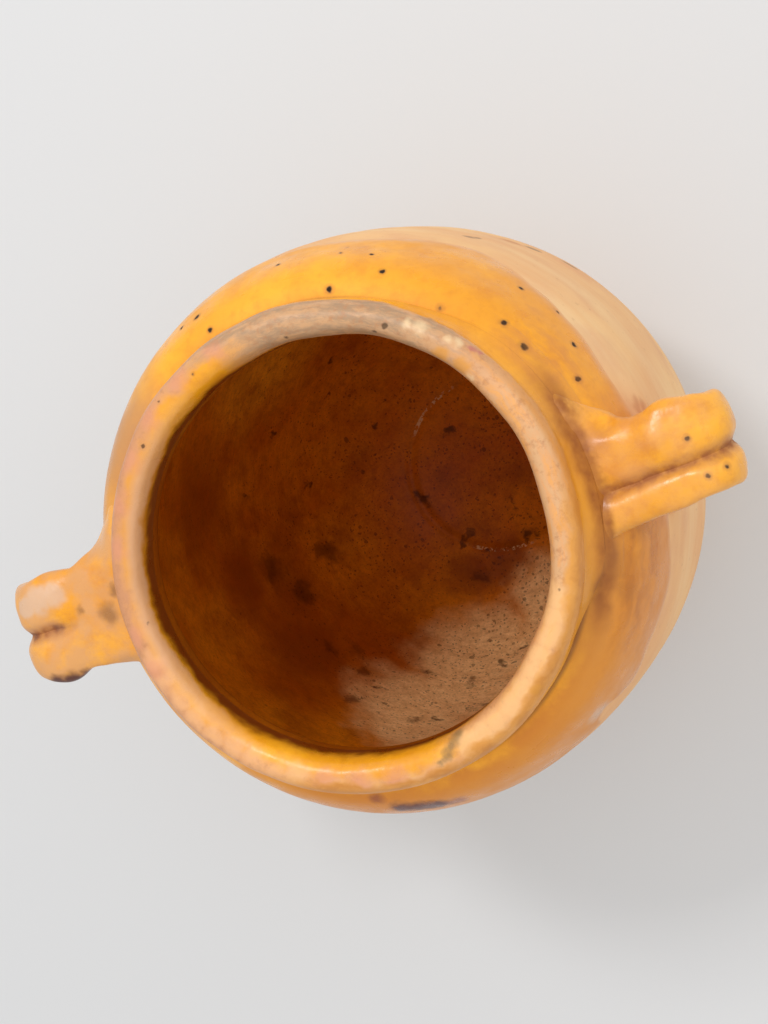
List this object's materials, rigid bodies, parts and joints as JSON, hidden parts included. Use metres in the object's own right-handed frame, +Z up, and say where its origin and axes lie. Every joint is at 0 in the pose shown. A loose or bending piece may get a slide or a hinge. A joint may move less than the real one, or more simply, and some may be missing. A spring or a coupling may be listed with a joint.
{
  "type": "confit pot",
  "caption": "Thrown earthenware storage pot with a rolled lip, a broad shoulder, strap ears on the neck, a glaze coat to below the ears and a glazed inside.",
  "frame": {"origin": "centre of the foot's flat underside, on the surface that the pot stands on", "axes": "+Z up along the pot's throwing axis, +X through the middle of the right ear"},
  "size_m": [0.2103, 0.167, 0.1904],
  "materials": {
    "bare_clay": "unglazed biscuit, dry and matt",
    "outer_glaze": "glossy yellow-ochre glaze with pinholes, worn on the lip",
    "inner_glaze": "glossy amber-brown glaze, stained by use",
    "ear_glaze": "glossy yellow-ochre glaze"
  },
  "bodies": {
    "root": {"pot_body": "bare_clay", "outer_glaze": "outer_glaze", "inner_glaze": "inner_glaze", "left_ear": "ear_glaze", "right_ear": "ear_glaze"}
  },
  "joints": []
}
